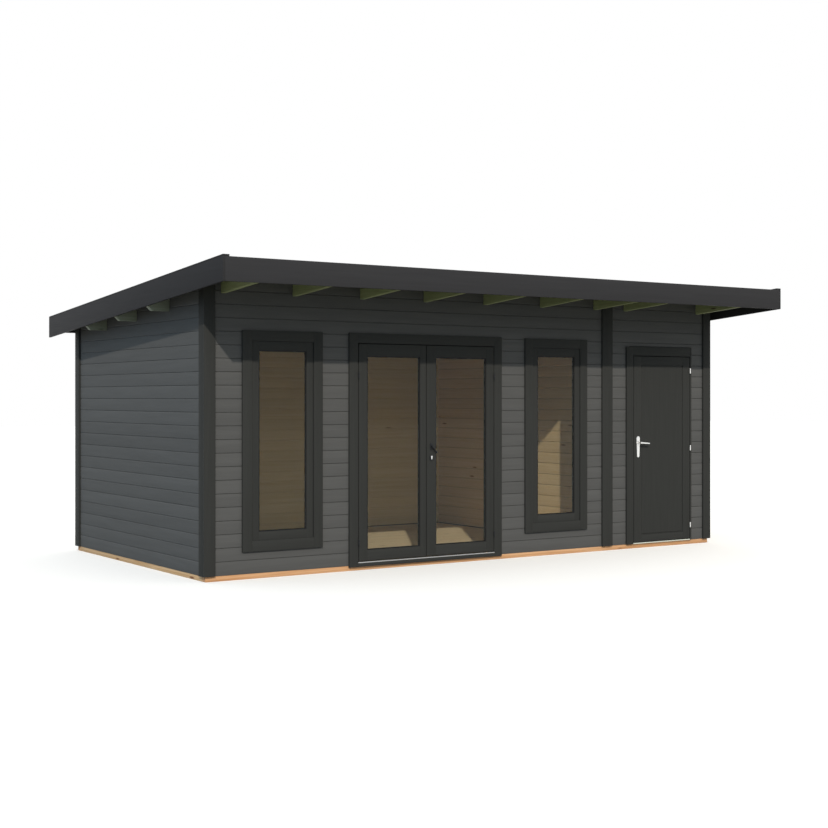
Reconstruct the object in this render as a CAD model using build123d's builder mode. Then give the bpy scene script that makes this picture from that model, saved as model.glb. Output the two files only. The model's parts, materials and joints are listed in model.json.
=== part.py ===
from build123d import *
import os

os.makedirs("parts", exist_ok=True)

# A log cabin with a mono-pitch roof that falls to the back. It has a main room behind a pair of
# glazed doors and two tall windows, and a store behind a panelled door at the right.
# X runs along the front, the front faces -Y, Z is up. Sizes are in millimetres.

# Clearances that many pieces share
overrun = 60                    # how far a cut reaches past what it cuts
fitting_gap = 2                 # between a frame and the logs round it
swing_gap = 8                   # round a door leaf
running_gap = 0.3               # between pieces that turn on each other

# Logs and walls
log_thickness = 44
log_course = 114                # height that each log adds to a wall
log_bevel_depth = 5
log_bevel_height = 5            # half of the V at each joint
wall_depth = 2980               # front log face to back log face
board_thickness = 20            # casings, corner boards and roof edge boards
casing_width = 90
post_width = 105                # each board of a corner post
partition_post_width = 134

# Base and floor
bearer_height = 45
bearer_width = 60
bearer_inset = 4                # bearer face behind the log face
joist_width = 45
joist_spacing = 560
floor_thickness = 19
floor_gap = 12                  # expansion gap between floor and logs

# The front from left to right: lengths that add up to the whole wall
left_end_pier = 338             # log face to window casing
window_width = 780              # over the casing
pier_before_doors = 272
double_opening = 1512           # between the jambs of the double door
pier_after_doors = 286
pier_to_partition = 268         # window casing to partition centre
partition_to_store = 258        # partition centre to store door casing
store_opening = 796
store_hinge_edge = 18           # narrow frame edge on the hinge side
right_end_pier = 262

# Heights of the front
head_height = 2024              # underside of the double door's head
window_bottom = 231             # underside of the window casing
window_head_drop = 3            # window casing top below the double door's
store_head_drop = 57            # store door's head below the double door's
header_height = 351             # logs between the doors' frames and the rafters
frame_drop = 13                 # double door's casing in front of the bearer

# Frames, sashes and leaves
lining_thickness = 38
stop_width = 14
stop_depth = 14
sash_gap = 2                    # beside and over a sash, which stands on its frame
sash_recess = 10                # sash face behind the casing face
sash_thickness = 40
sash_stile = 66
sash_top_rail = 77
sash_bottom_rail = 76
glass_thickness = 4
glass_bed = 8                   # how deep a pane sits in its groove
glass_play = 0.3
glass_recess = 10               # pane behind the face of its sash or leaf
leaf_thickness = 44
leaf_stile = 88
left_meeting_stile = 65
right_meeting_stile = 102
meeting_shift = 23              # meeting line to the left of the opening's middle
leaf_top_rail = 106
leaf_bottom_rail = 94
store_leaf_stile = 97
store_leaf_top_rail = 87
store_leaf_bottom_rail = 70
store_panel_recess = 5

# Sills
sill_height = 21
threshold_height = 10
threshold_nose = 5              # threshold in front of the casing
threshold_chamfer = 4
store_sill_height = 10

# Hinges
knuckle_radius = 7
knuckle_height = 26             # one half of a hinge
knuckle_stand_off = 1           # knuckle in front of the casing
hinge_pin_radius = 3
hinge_pin_sides = 12
hinge_pin_play = 0.05
hinge_pin_length = 20
hinge_plate_thickness = 2
hinge_plate_depth = 32
double_hinge_low_distance = 166  # hinge centre from the end of its leaf
double_hinge_high_distance = 278
store_hinge_low_distance = 141
store_hinge_high_distance = 142

# Door furniture
handle_height = 1090            # spindle of the double door
handle_neck_length = 24         # short lever that hangs at a slant
handle_reach = 48               # spindle to the middle of the tip, along the door
handle_droop = 58               # and down
store_lever_height = 1078       # spindle of the store door
store_lever_neck_length = 48
store_lever_reach = 110
store_lever_droop = 8
spindle_width = 8
spindle_hole_radius = 9
lever_neck_radius = 9
lever_neck_play = 0.2
lever_thickness = 12
lever_root_height = 14
lever_tip_height = 11
backset = 50                    # spindle from the meeting edge of the double door
rose_width = 30
rose_height = 62
rose_chamfer = 7
rose_thickness = 7
lock_drop = 95                  # cylinder below the double door's spindle
lock_plate_border = 8           # key plate round the cylinder
lock_plate_chamfer = 6
cylinder_radius = 8.5           # profile cylinder: round barrel over a narrower tail
cylinder_tail_radius = 5
cylinder_tail_drop = 19.5
cylinder_stand = 3              # cylinder in front of its key plate
store_backset = 52
store_plate_drop = 150          # handle plate below the store door's spindle
store_plate_rise = 65           # and above it
store_plate_top_radius = 22
store_plate_bottom_radius = 15
store_plate_thickness = 6

# Roof
front_overhang = 803
back_overhang = 199
side_overhang = 227.5
roof_fall_share = 0.0749        # rise over run
rafter_width = 45
rafter_depth = 120
rafter_end_gap = 102            # first and last rafter from the main room's walls
main_rafter_count = 7
store_rafter_start_gap = 211
store_rafter_end_gap = 88
notch_gap = 1.5                 # beside a rafter where the wall is notched for it
deck_thickness = 19
felt_thickness = 4
barge_drop = 151                # barge board below the underside of the deck
barge_rise = 46                 # and above it
back_fascia_drop = 100
batten_width = 58
batten_thickness = 14
bracket_count = 3               # on each side wall
bracket_spacing = 733
bracket_shift = 15              # middle bracket in front of the wall's middle
bracket_width = 45
bracket_depth = 185
bracket_chamfer = 42

# Places worked out from the sizes above
window_overlap = casing_width - lining_thickness - fitting_gap
wall_length = (left_end_pier + window_width + pier_before_doors + double_opening + 2 * casing_width
               + pier_after_doors + window_width + pier_to_partition + partition_to_store
               + casing_width + store_opening + store_hinge_edge + right_end_pier)
roof_length = wall_length + 2 * side_overhang
roof_depth = front_overhang + wall_depth + back_overhang
left_face = -wall_length / 2
right_face = wall_length / 2
front_face = -roof_depth / 2 + front_overhang
back_face = front_face + wall_depth
front_inside = front_face + log_thickness
back_inside = back_face - log_thickness
left_inside = left_face + log_thickness
right_inside = right_face - log_thickness
casing_face = front_face - board_thickness

left_window_centre = left_face + left_end_pier + window_width / 2
double_left = left_face + left_end_pier + window_width + pier_before_doors + casing_width
double_right = double_left + double_opening
right_window_centre = double_right + casing_width + pier_after_doors + window_width / 2
partition_centre = right_window_centre + window_width / 2 + pier_to_partition
partition_left = partition_centre - log_thickness / 2
partition_right = partition_centre + log_thickness / 2
store_left = partition_centre + partition_to_store + casing_width
store_right = store_left + store_opening

header_bottom = head_height + lining_thickness + fitting_gap
rafter_seat_height = header_bottom + header_height
window_top = head_height + casing_width - window_head_drop
store_head_height = head_height - store_head_drop
rough_side = lining_thickness + fitting_gap
lock_height = handle_height - lock_drop
floor_top = bearer_height + floor_thickness
roof_front = -roof_depth / 2
roof_back = roof_depth / 2
eaves_front = roof_front + board_thickness
eaves_back = roof_back - board_thickness
barge_inside = roof_length / 2 - board_thickness


def deck_low(y):
    """Height of the underside of the roof deck."""
    return rafter_seat_height + rafter_depth - roof_fall_share * (y - front_face)


deck_plane = Plane(origin=(0, 0, deck_low(0)), x_dir=(1, 0, 0), z_dir=(0, roof_fall_share, 1))
wall_stock_top = deck_low(front_face) + overrun

main_rafter_pitch = (partition_left - left_inside - 2 * rafter_end_gap - rafter_width) / (main_rafter_count - 1)
rafter_lefts = [left_inside + rafter_end_gap + k * main_rafter_pitch for k in range(main_rafter_count)]
rafter_lefts += [partition_right + store_rafter_start_gap, right_inside - store_rafter_end_gap - rafter_width]


def save(piece, node):
    piece.label = node
    export_step(piece, f"parts/{node}.step")


def facing(y):
    """Upright plane at depth y that faces the front, drawn on in X and Z."""
    return Plane.XZ.offset(-y)


def corner_rectangle(x0, z0, x1, z1, mode=Mode.ADD):
    with Locations(((x0 + x1) / 2, (z0 + z1) / 2)):
        Rectangle(x1 - x0, z1 - z0, mode=mode)


def grown_rectangle(box, margin):
    corner_rectangle(box[0] - margin, box[1] - margin, box[2] + margin, box[3] + margin)


def profile_cylinder(x, play, mode=Mode.ADD):
    """Section of a door cylinder, drawn larger by its play."""
    tail = cylinder_tail_radius + play
    with Locations((x, lock_height)):
        Circle(cylinder_radius + play, mode=mode)
    corner_rectangle(x - tail, lock_height - cylinder_tail_drop, x + tail, lock_height, mode)
    with Locations((x, lock_height - cylinder_tail_drop)):
        Circle(tail, mode=mode)


def log_profile(near, bottom, top):
    """Section of a stack of logs, with a V at each joint on both faces."""
    first = int((bottom - bearer_height) / log_course) + 1
    last = int((top - bearer_height) / log_course)
    heights = [bearer_height + log_course * k for k in range(first, last + 1)]
    joints = [z for z in heights if bottom + log_bevel_height < z < top - log_bevel_height]
    outside = [(near, bottom)]
    for z in joints:
        outside += [(near, z - log_bevel_height), (near + log_bevel_depth, z), (near, z + log_bevel_height)]
    outside.append((near, top))
    inside = [(2 * near + log_thickness - depth, z) for depth, z in reversed(outside)]
    Polygon(*outside, *inside, align=None)


def sloped_outline(front, back, low, high):
    """Strip seen from the side that follows the roof, from low to high above the deck's underside."""
    Polygon(
        (front, deck_low(front) + low),
        (back, deck_low(back) + low),
        (back, deck_low(back) + high),
        (front, deck_low(front) + high),
        align=None,
    )


def wall_along_front(start, end, near, bottom, top):
    """Plain length of log wall that runs along X."""
    with BuildPart() as wall:
        with BuildSketch(Plane.YZ.offset(start)):
            log_profile(near, bottom, top)
        extrude(amount=end - start)
    return wall.part


def notched_wall(start, end, near, bottom):
    """Log wall under the deck, notched where each rafter lies in it."""
    with BuildPart() as wall:
        with BuildSketch(Plane.YZ.offset(start)):
            log_profile(near, bottom, wall_stock_top)
        extrude(amount=end - start)
        split(bisect_by=deck_plane, keep=Keep.BOTTOM)
        for left in rafter_lefts:
            with BuildSketch(Plane.YZ.offset(left - notch_gap)):
                sloped_outline(near - overrun, near + log_thickness + overrun, -rafter_depth, overrun)
            extrude(amount=rafter_width + 2 * notch_gap, mode=Mode.SUBTRACT)
    return wall.part


def wall_along_side(near, start, end):
    """Log wall that runs along Y, its top cut to the fall of the roof."""
    with BuildPart() as wall:
        with BuildSketch(facing(end)):
            log_profile(near, bearer_height, wall_stock_top)
        extrude(amount=end - start)
        split(bisect_by=deck_plane, keep=Keep.BOTTOM)
    return wall.part


# Bearers under the walls
bearer_left = left_face + bearer_inset
bearer_right = right_face - bearer_inset
bearer_front = front_face + bearer_inset
bearer_back = back_face - bearer_inset

with BuildPart() as long_bearers:
    with BuildSketch():
        corner_rectangle(bearer_left, bearer_front, bearer_right, bearer_front + bearer_width)
        corner_rectangle(bearer_left, bearer_back - bearer_width, bearer_right, bearer_back)
    extrude(amount=bearer_height)
save(long_bearers.part, "long_bearers")

with BuildPart() as end_bearers:
    with BuildSketch():
        for x in (bearer_left, bearer_right - bearer_width):
            corner_rectangle(x, bearer_front + bearer_width, x + bearer_width, bearer_back - bearer_width)
    extrude(amount=bearer_height)
save(end_bearers.part, "end_bearers")

joist_run = bearer_right - bearer_left - 2 * bearer_width
joist_count = int(joist_run / joist_spacing)
joist_pitch = joist_run / (joist_count + 1)
with BuildPart() as floor_joists:
    with BuildSketch():
        for k in range(joist_count):
            x = bearer_left + bearer_width + (k + 1) * joist_pitch - joist_width / 2
            corner_rectangle(x, bearer_front + bearer_width, x + joist_width, bearer_back - bearer_width)
    extrude(amount=bearer_height)
save(floor_joists.part, "floor_joists")

# Floors
floor_front = front_inside + floor_gap
floor_back = back_inside - floor_gap
rooms = {"main_floor": (left_inside, partition_left), "store_floor": (partition_right, right_inside)}
for node, (left, right) in rooms.items():
    with BuildPart() as floor:
        with BuildSketch(Plane.XY.offset(bearer_height)):
            corner_rectangle(left + floor_gap, floor_front, right - floor_gap, floor_back)
        extrude(amount=floor_thickness)
    save(floor.part, node)

# Log walls
save(wall_along_side(left_face, front_face, back_face), "left_wall")
save(wall_along_side(right_inside, front_face, back_face), "right_wall")
save(wall_along_side(partition_left, front_inside, back_inside), "partition_wall")
save(notched_wall(left_inside, right_inside, back_inside, bearer_height), "back_wall")
save(notched_wall(left_inside, right_inside, front_face, header_bottom), "front_header")

left_window_rough = (left_window_centre - window_width / 2 + window_overlap,
                     left_window_centre + window_width / 2 - window_overlap)
right_window_rough = (right_window_centre - window_width / 2 + window_overlap,
                      right_window_centre + window_width / 2 - window_overlap)
double_rough = (double_left - rough_side, double_right + rough_side)
store_rough = (store_left - rough_side, store_right + rough_side)
front_piers = {
    "front_left_pier": (left_inside, left_window_rough[0]),
    "left_door_pier": (left_window_rough[1], double_rough[0]),
    "right_door_pier": (double_rough[1], right_window_rough[0]),
    "partition_pier": (right_window_rough[1], store_rough[0]),
    "front_right_pier": (store_rough[1], right_inside),
}
for node, (start, end) in front_piers.items():
    save(wall_along_front(start, end, front_face, bearer_height, header_bottom), node)

window_sill_height = window_bottom + window_overlap
save(wall_along_front(*left_window_rough, front_face, bearer_height, window_sill_height), "under_left_window")
save(wall_along_front(*right_window_rough, front_face, bearer_height, window_sill_height), "under_right_window")

# Corner posts of two boards, and the boards that cover the ends of the partition
with BuildPart() as corner_posts:
    with BuildSketch(Plane.XY.offset(bearer_height)):
        for side in (-1, 1):
            post_outside = side * (right_face + board_thickness)
            post_edge = post_outside - side * post_width
            for face, away in ((front_face, -1), (back_face, 1)):
                board_face = face + away * board_thickness
                corner_rectangle(min(post_outside, post_edge), min(face, board_face),
                                 max(post_outside, post_edge), max(face, board_face))
                far_edge = board_face - away * post_width
                corner_rectangle(min(side * right_face, post_outside), min(board_face, far_edge),
                                 max(side * right_face, post_outside), max(board_face, far_edge))
    extrude(amount=wall_stock_top - bearer_height)
    split(bisect_by=deck_plane, keep=Keep.BOTTOM)
save(corner_posts.part, "corner_posts")

with BuildPart() as partition_posts:
    with BuildSketch(Plane.XY.offset(bearer_height)):
        post_left = partition_centre - partition_post_width / 2
        post_right = partition_centre + partition_post_width / 2
        corner_rectangle(post_left, casing_face, post_right, front_face)
        corner_rectangle(post_left, back_face, post_right, back_face + board_thickness)
    extrude(amount=wall_stock_top - bearer_height)
    split(bisect_by=deck_plane, keep=Keep.BOTTOM)
save(partition_posts.part, "partition_posts")


def glazed_panel(left, bottom, right, top, face, thickness, bars, spindle=None):
    """Stiles and rails round a pane, with the groove that holds it, then the pane; bars are the widths of
    the left stile, right stile, bottom rail and top rail, and spindle is where a lever's bores go."""
    light = (left + bars[0], bottom + bars[2], right - bars[1], top - bars[3])
    pane_back = face + glass_recess + glass_thickness
    with BuildPart() as panel:
        with BuildSketch(facing(face + thickness)):
            corner_rectangle(left, bottom, right, top)
            corner_rectangle(*light, Mode.SUBTRACT)
            if spindle is not None:
                with Locations((spindle, handle_height)):
                    Circle(spindle_hole_radius, mode=Mode.SUBTRACT)
                profile_cylinder(spindle, running_gap, Mode.SUBTRACT)
        extrude(amount=thickness)
        with BuildSketch(facing(pane_back + glass_play)):
            grown_rectangle(light, glass_bed)
        extrude(amount=glass_thickness + 2 * glass_play, mode=Mode.SUBTRACT)
    with BuildPart() as pane:
        with BuildSketch(facing(pane_back)):
            grown_rectangle(light, glass_bed - glass_play)
        extrude(amount=glass_thickness)
    return panel, pane


# Windows: lining with casing on both faces, sash and pane
for node, centre in (("left_window", left_window_centre), ("right_window", right_window_centre)):
    left = centre - window_width / 2
    right = centre + window_width / 2
    light = (left + casing_width, window_bottom + casing_width, right - casing_width, window_top - casing_width)
    with BuildPart() as window_frame:
        for back, depth in ((front_face, board_thickness), (front_inside + board_thickness, board_thickness)):
            with BuildSketch(facing(back)):
                corner_rectangle(left, window_bottom, right, window_top)
                corner_rectangle(*light, Mode.SUBTRACT)
            extrude(amount=depth)
        with BuildSketch(facing(front_inside)):
            corner_rectangle(light[0] - lining_thickness, light[1] - lining_thickness,
                             light[2] + lining_thickness, light[3] + lining_thickness)
            corner_rectangle(*light, Mode.SUBTRACT)
        extrude(amount=log_thickness)
    save(window_frame.part, f"{node}_frame")
    sash, pane = glazed_panel(light[0] + sash_gap, light[1], light[2] - sash_gap, light[3] - sash_gap,
                              casing_face + sash_recess, sash_thickness,
                              (sash_stile, sash_stile, sash_bottom_rail, sash_top_rail))
    save(sash.part, f"{node}_sash")
    save(pane.part, f"{node}_glass")

# Double door: frame, sill and threshold
leaf_bottom = bearer_height + sill_height + threshold_height + swing_gap
leaf_top = head_height - swing_gap
stop_face = casing_face + leaf_thickness + swing_gap - fitting_gap


def door_frame(left, right, head, lining_top, right_casing, casing_bottom):
    """Jambs and head: casing outside, lining through the wall and casing inside."""
    with BuildPart() as frame:
        with BuildSketch(facing(front_face)):
            corner_rectangle(left - casing_width, casing_bottom, right + right_casing, head + casing_width)
            corner_rectangle(left, casing_bottom, right, head, Mode.SUBTRACT)
        extrude(amount=board_thickness)
        with BuildSketch(facing(front_inside)):
            corner_rectangle(left - lining_thickness, bearer_height, right + lining_thickness, lining_top)
            corner_rectangle(left, bearer_height, right, head, Mode.SUBTRACT)
        extrude(amount=log_thickness)
        with BuildSketch(facing(front_inside + board_thickness)):
            corner_rectangle(left - casing_width, floor_top, right + casing_width, head + casing_width)
            corner_rectangle(left, floor_top, right, head, Mode.SUBTRACT)
        extrude(amount=board_thickness)
    return frame.part


def door_stops(left, right, head, low):
    """Strip inside the jambs and head that a leaf closes towards."""
    with BuildPart() as stops:
        with BuildSketch(facing(stop_face + stop_depth)):
            corner_rectangle(left, low, right, head)
            corner_rectangle(left + stop_width, low, right - stop_width, head - stop_width, Mode.SUBTRACT)
        extrude(amount=stop_depth)
    return stops.part


save(door_frame(double_left, double_right, head_height, head_height + lining_thickness, casing_width,
                bearer_height - frame_drop), "double_door_frame")
save(door_stops(double_left, double_right, head_height, leaf_bottom), "double_door_stops")

with BuildPart() as double_door_sill:
    with BuildSketch(facing(front_inside)):
        corner_rectangle(double_left, bearer_height, double_right, bearer_height + sill_height)
    extrude(amount=front_inside - casing_face)
    with BuildSketch(facing(front_face)):
        corner_rectangle(double_left, bearer_height - frame_drop, double_right, bearer_height)
    extrude(amount=board_thickness)
save(double_door_sill.part, "double_door_sill")

with BuildPart() as double_door_threshold:
    with BuildSketch(facing(front_inside)):
        corner_rectangle(double_left, bearer_height + sill_height, double_right,
                         bearer_height + sill_height + threshold_height)
    extrude(amount=front_inside - casing_face + threshold_nose)
    chamfer(double_door_threshold.edges().filter_by(Axis.X).group_by(Axis.Z)[-1].sort_by(Axis.Y)[0],
            length=threshold_chamfer)
save(double_door_threshold.part, "double_door_threshold")

# Double door: leaves
meeting_line = (double_left + double_right) / 2 - meeting_shift
left_leaf_edge = meeting_line - swing_gap / 2
right_leaf_edge = meeting_line + swing_gap / 2
spindle_x = right_leaf_edge + backset
door_leaves = {                 # node: left edge, right edge, stiles and the spindle
    "left_door": (double_left + swing_gap, left_leaf_edge, (leaf_stile, left_meeting_stile), None),
    "right_door": (right_leaf_edge, double_right - swing_gap, (right_meeting_stile, leaf_stile), spindle_x),
}
for node, (left, right, stiles, spindle) in door_leaves.items():
    leaf, pane = glazed_panel(left, leaf_bottom, right, leaf_top, casing_face, leaf_thickness,
                              (*stiles, leaf_bottom_rail, leaf_top_rail), spindle)
    save(leaf.part, f"{node}_leaf")
    save(pane.part, f"{node}_glass")

# Store door: frame, sill and panelled leaf
store_leaf_bottom = bearer_height + store_sill_height + swing_gap
store_leaf_top = store_head_height - swing_gap
store_leaf_left = store_left + swing_gap
store_leaf_right = store_right - swing_gap
store_spindle_x = store_leaf_left + store_backset
save(door_frame(store_left, store_right, store_head_height, header_bottom - fitting_gap, store_hinge_edge,
                bearer_height), "store_door_frame")
save(door_stops(store_left, store_right, store_head_height, store_leaf_bottom), "store_door_stops")

with BuildPart() as store_door_sill:
    with BuildSketch(facing(front_inside)):
        corner_rectangle(store_left, bearer_height, store_right, bearer_height + store_sill_height)
    extrude(amount=front_inside - casing_face)
save(store_door_sill.part, "store_door_sill")

with BuildPart() as store_door_leaf:
    with BuildSketch(facing(casing_face + leaf_thickness)):
        corner_rectangle(store_leaf_left, store_leaf_bottom, store_leaf_right, store_leaf_top)
        with Locations((store_spindle_x, store_lever_height)):
            Circle(spindle_hole_radius, mode=Mode.SUBTRACT)
    extrude(amount=leaf_thickness)
    for back in (casing_face + store_panel_recess, casing_face + leaf_thickness):
        with BuildSketch(facing(back)):
            corner_rectangle(store_leaf_left + store_leaf_stile, store_leaf_bottom + store_leaf_bottom_rail,
                             store_leaf_right - store_leaf_stile, store_leaf_top - store_leaf_top_rail)
        extrude(amount=store_panel_recess, mode=Mode.SUBTRACT)
save(store_door_leaf.part, "store_door_leaf")

# Lift-off hinges: the lower half and its pin stay on the jamb, the upper half turns with the leaf
hinge_y = casing_face - knuckle_stand_off - knuckle_radius
hinge_inset = swing_gap / 2


def hinge_halves(places, on_leaf):
    """One half of each hinge; a place is the axis in X, the side of its jamb and its middle height."""
    with BuildPart() as halves:
        for x, jamb_side, middle in places:
            side = -jamb_side if on_leaf else jamb_side
            low = middle + running_gap if on_leaf else middle - knuckle_height
            plate_edge = x + side * hinge_inset
            plate_inner = plate_edge - side * hinge_plate_thickness
            with BuildSketch(Plane.XY.offset(low)):
                with Locations((x, hinge_y)):
                    Circle(knuckle_radius)
                corner_rectangle(min(plate_edge, plate_inner), hinge_y,
                                 max(plate_edge, plate_inner), hinge_y + hinge_plate_depth)
            extrude(amount=knuckle_height)
            pin_reach = hinge_pin_length + running_gap
            if on_leaf:
                with BuildSketch(Plane.XY.offset(middle)):
                    with Locations((x, hinge_y)):
                        RegularPolygon(hinge_pin_radius + hinge_pin_play, hinge_pin_sides, major_radius=False)
                extrude(amount=pin_reach + running_gap, mode=Mode.SUBTRACT)
            else:
                with BuildSketch(Plane.XY.offset(middle)):
                    with Locations((x, hinge_y)):
                        RegularPolygon(hinge_pin_radius, hinge_pin_sides)
                extrude(amount=pin_reach)
    return halves.part


left_axis = double_left + hinge_inset
right_axis = double_right - hinge_inset
store_axis = store_right - hinge_inset
double_heights = (leaf_bottom + double_hinge_low_distance, leaf_top - double_hinge_high_distance)
store_low_hinge = store_leaf_bottom + store_hinge_low_distance
store_high_hinge = store_leaf_top - store_hinge_high_distance
store_heights = (store_low_hinge, (store_low_hinge + store_high_hinge) / 2, store_high_hinge)
left_places = [(left_axis, -1, z) for z in double_heights]
right_places = [(right_axis, 1, z) for z in double_heights]
store_places = [(store_axis, 1, z) for z in store_heights]
save(hinge_halves(left_places, True), "left_door_hinges")
save(hinge_halves(right_places, True), "right_door_hinges")
save(hinge_halves(store_places, True), "store_door_hinges")
save(hinge_halves(left_places + right_places, False), "double_frame_hinges")
save(hinge_halves(store_places, False), "store_frame_hinges")


def lever_pair(x, z, plate_thickness, neck_length, reach, droop):
    """Lever outside and inside on one spindle, pointing to the hinge side and drooping."""
    inner_end = casing_face + leaf_thickness + plate_thickness + neck_length
    outer_end = casing_face - plate_thickness - neck_length
    with BuildPart() as lever:
        with BuildSketch(facing(inner_end)):
            with Locations((x, z)):
                Rectangle(spindle_width, spindle_width)
        extrude(amount=inner_end - outer_end)
        for back in (inner_end, casing_face):
            with BuildSketch(facing(back)):
                with Locations((x, z)):
                    Circle(lever_neck_radius)
            extrude(amount=neck_length + plate_thickness)
        for back in (inner_end, outer_end + lever_thickness):
            with BuildSketch(facing(back)):
                with Locations((x, z)):
                    Circle(lever_root_height / 2)
                with Locations((x + reach, z - droop)):
                    Circle(lever_tip_height / 2)
                make_hull()
            extrude(amount=lever_thickness)
    return lever.part


key_plate_width = 2 * (cylinder_radius + lock_plate_border)
key_plate_top = lock_height + cylinder_radius + lock_plate_border
key_plate_bottom = lock_height - cylinder_tail_drop - cylinder_tail_radius - lock_plate_border
with BuildPart() as double_door_roses:
    for back in (casing_face, casing_face + leaf_thickness + rose_thickness):
        with BuildSketch(facing(back)):
            with Locations((spindle_x, handle_height)):
                rose = Rectangle(rose_width, rose_height)
                chamfer(rose.vertices(), length=rose_chamfer)
                Circle(lever_neck_radius + lever_neck_play, mode=Mode.SUBTRACT)
        extrude(amount=rose_thickness)
        with BuildSketch(facing(back)):
            with Locations((spindle_x, (key_plate_top + key_plate_bottom) / 2)):
                key_plate = Rectangle(key_plate_width, key_plate_top - key_plate_bottom)
                chamfer(key_plate.vertices(), length=lock_plate_chamfer)
            profile_cylinder(spindle_x, running_gap, Mode.SUBTRACT)
        extrude(amount=rose_thickness)
save(double_door_roses.part, "double_door_roses")
save(lever_pair(spindle_x, handle_height, rose_thickness, handle_neck_length, handle_reach, handle_droop),
     "double_door_lever")

with BuildPart() as store_handle_plates:
    plate_low = store_lever_height - store_plate_drop + store_plate_bottom_radius
    plate_high = store_lever_height + store_plate_rise - store_plate_top_radius
    for back in (casing_face, casing_face + leaf_thickness + store_plate_thickness):
        with BuildSketch(facing(back)):
            with Locations((store_spindle_x, plate_low)):
                Circle(store_plate_bottom_radius)
            with Locations((store_spindle_x, plate_high)):
                Circle(store_plate_top_radius)
            make_hull()
            with Locations((store_spindle_x, store_lever_height)):
                Circle(lever_neck_radius + lever_neck_play, mode=Mode.SUBTRACT)
        extrude(amount=store_plate_thickness)
save(store_handle_plates.part, "store_handle_plates")
save(lever_pair(store_spindle_x, store_lever_height, store_plate_thickness, store_lever_neck_length,
                store_lever_reach, store_lever_droop), "store_lever")

with BuildPart() as double_door_lock:
    cylinder_end = rose_thickness + cylinder_stand
    with BuildSketch(facing(casing_face + leaf_thickness + cylinder_end)):
        profile_cylinder(spindle_x, 0)
    extrude(amount=leaf_thickness + 2 * cylinder_end)
save(double_door_lock.part, "double_door_lock")

# Roof: rafters, side brackets, deck, covering and edge boards
with BuildPart() as rafters:
    for left in rafter_lefts:
        with BuildSketch(Plane.YZ.offset(left)):
            sloped_outline(eaves_front, eaves_back, -rafter_depth, 0)
        extrude(amount=rafter_width)
save(rafters.part, "rafters")

bracket_middle = (front_face + back_face) / 2 - bracket_shift
with BuildPart() as side_brackets:
    for k in range(bracket_count):
        middle = bracket_middle + (k - (bracket_count - 1) / 2) * bracket_spacing
        low = deck_low(middle) - bracket_depth
        with BuildSketch(facing(middle + bracket_width / 2)):
            Polygon(
                (right_face, low),
                (barge_inside - bracket_chamfer, low),
                (barge_inside, low + bracket_chamfer),
                (barge_inside, low + bracket_depth + overrun),
                (right_face, low + bracket_depth + overrun),
                align=None,
            )
        extrude(amount=bracket_width)
    split(bisect_by=deck_plane, keep=Keep.BOTTOM)
    mirror(about=Plane.YZ)
save(side_brackets.part, "side_brackets")

with BuildPart() as roof_deck:
    with BuildSketch(Plane.YZ.offset(-barge_inside)):
        sloped_outline(eaves_front, eaves_back, 0, deck_thickness)
    extrude(amount=2 * barge_inside)
save(roof_deck.part, "roof_deck")

with BuildPart() as roof_felt:
    with BuildSketch(Plane.YZ.offset(-barge_inside)):
        sloped_outline(eaves_front, eaves_back, deck_thickness, deck_thickness + felt_thickness)
    extrude(amount=2 * barge_inside)
save(roof_felt.part, "roof_felt")

with BuildPart() as barge_boards:
    with BuildSketch(Plane.YZ.offset(barge_inside)):
        sloped_outline(roof_front, roof_back, -barge_drop, barge_rise)
    extrude(amount=board_thickness)
    mirror(about=Plane.YZ)
save(barge_boards.part, "barge_boards")

with BuildPart() as edge_battens:
    with BuildSketch(Plane.YZ.offset(roof_length / 2 - batten_width)):
        sloped_outline(roof_front, roof_back, barge_rise, barge_rise + batten_thickness)
    extrude(amount=batten_width)
    mirror(about=Plane.YZ)
save(edge_battens.part, "edge_battens")

with BuildPart() as front_fascia:
    with BuildSketch(facing(eaves_front)):
        corner_rectangle(-barge_inside, deck_low(roof_front) - barge_drop, barge_inside,
                         deck_low(eaves_front) + barge_rise)
    extrude(amount=board_thickness)
save(front_fascia.part, "front_fascia")

with BuildPart() as back_fascia:
    with BuildSketch(facing(roof_back)):
        corner_rectangle(-barge_inside, deck_low(roof_back) - back_fascia_drop, barge_inside,
                         deck_low(roof_back) + deck_thickness)
    extrude(amount=board_thickness)
save(back_fascia.part, "back_fascia")
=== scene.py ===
import json
import math
import random

import bmesh
import bpy
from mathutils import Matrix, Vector


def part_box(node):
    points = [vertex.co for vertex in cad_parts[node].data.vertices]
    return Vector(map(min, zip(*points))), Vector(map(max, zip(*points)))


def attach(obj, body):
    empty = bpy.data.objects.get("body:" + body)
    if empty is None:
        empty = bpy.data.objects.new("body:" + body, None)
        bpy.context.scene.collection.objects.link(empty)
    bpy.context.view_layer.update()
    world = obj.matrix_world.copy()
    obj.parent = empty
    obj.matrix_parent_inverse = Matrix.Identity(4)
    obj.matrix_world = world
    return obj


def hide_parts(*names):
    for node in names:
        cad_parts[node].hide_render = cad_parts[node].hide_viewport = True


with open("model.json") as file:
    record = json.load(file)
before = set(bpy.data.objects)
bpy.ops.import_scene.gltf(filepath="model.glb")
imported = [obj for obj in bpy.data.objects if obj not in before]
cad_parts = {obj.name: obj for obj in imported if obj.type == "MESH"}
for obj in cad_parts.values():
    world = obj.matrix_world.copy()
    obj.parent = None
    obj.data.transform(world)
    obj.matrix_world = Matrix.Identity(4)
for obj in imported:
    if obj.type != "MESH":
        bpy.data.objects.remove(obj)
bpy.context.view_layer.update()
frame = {"nodes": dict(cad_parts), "record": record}
cadNodes = frame["nodes"]
record = frame["record"]
nodeBody = {node: body for body, members in record["behaviour"]["bodies"].items() for node in members}
nodeSlot = {part["node"]: part["material_slot"] for part in record["subparts"]}

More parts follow.
